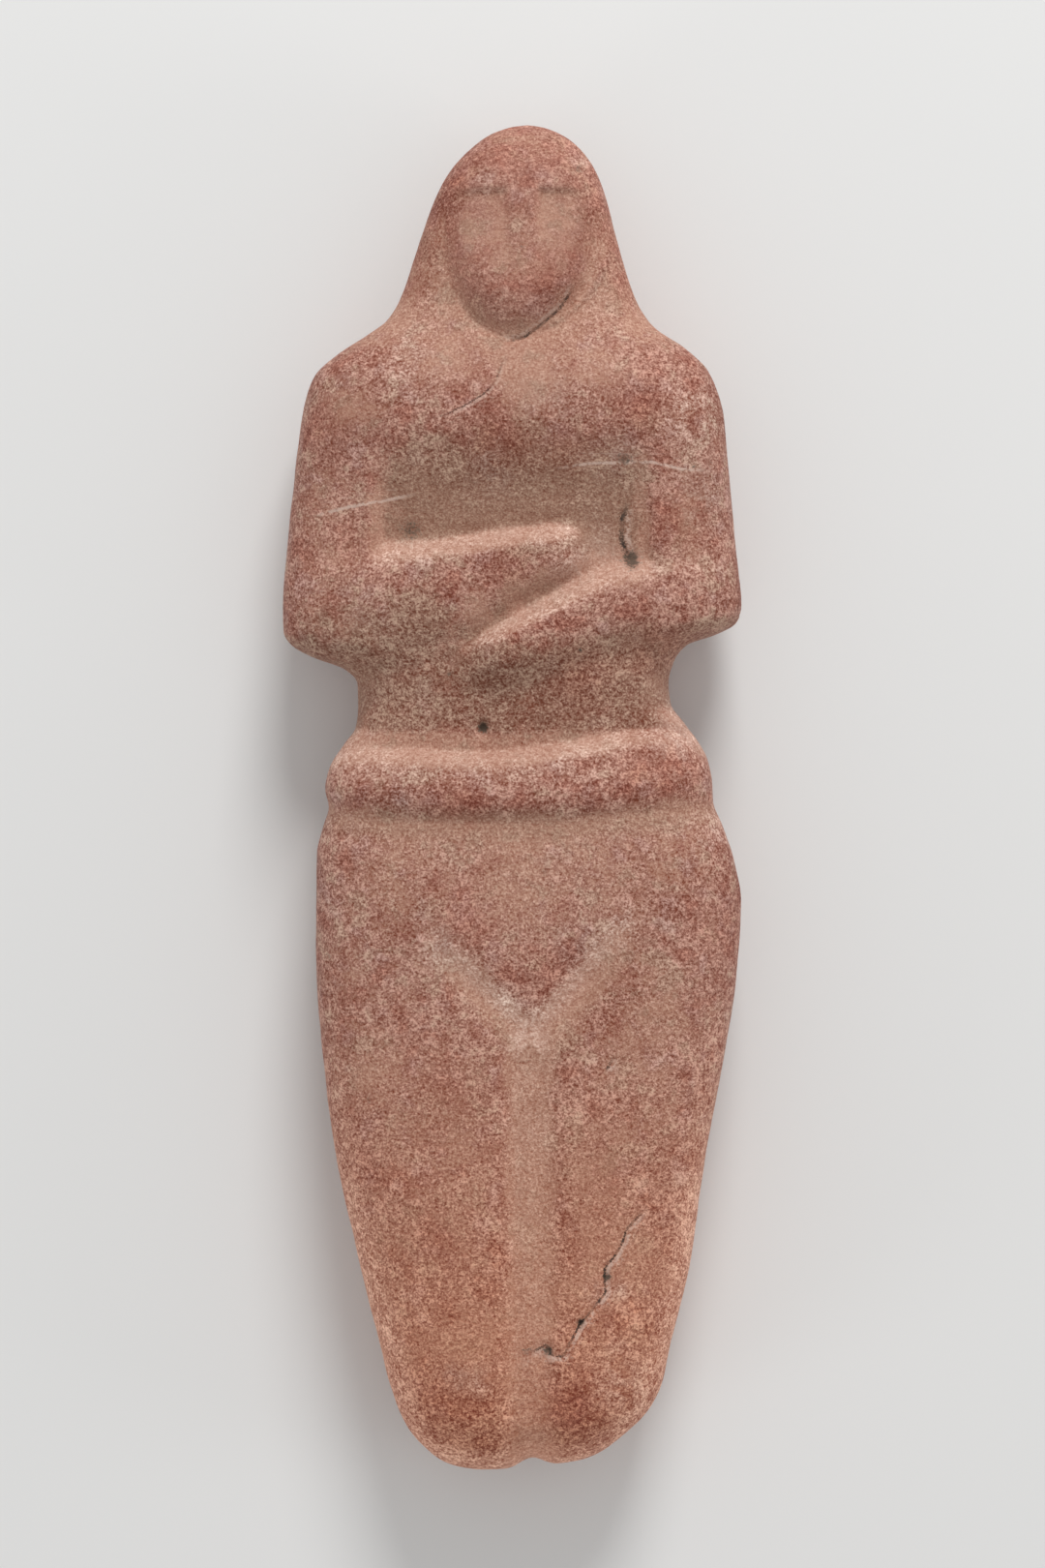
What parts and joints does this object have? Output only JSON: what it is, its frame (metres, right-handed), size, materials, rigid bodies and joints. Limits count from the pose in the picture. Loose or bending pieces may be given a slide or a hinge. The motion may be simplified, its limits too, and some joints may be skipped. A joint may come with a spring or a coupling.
{
  "type": "stone idol",
  "caption": "Flat red stone idol lying on its back, carved front up: hooded head, crossed arms, rolled belt, V over the thighs and a groove between the legs.",
  "frame": {"origin": "under the middle of the idol's box, on the plane that its ground back rests on", "axes": "+Y from the feet to the crown, +Z out of the carved front (up, as the idol lies), +X to the viewer's right"},
  "size_m": [0.0756, 0.222, 0.0302],
  "materials": {
    "red_stone": "matte"
  },
  "bodies": {
    "root": {"idol": "red_stone"}
  },
  "joints": []
}
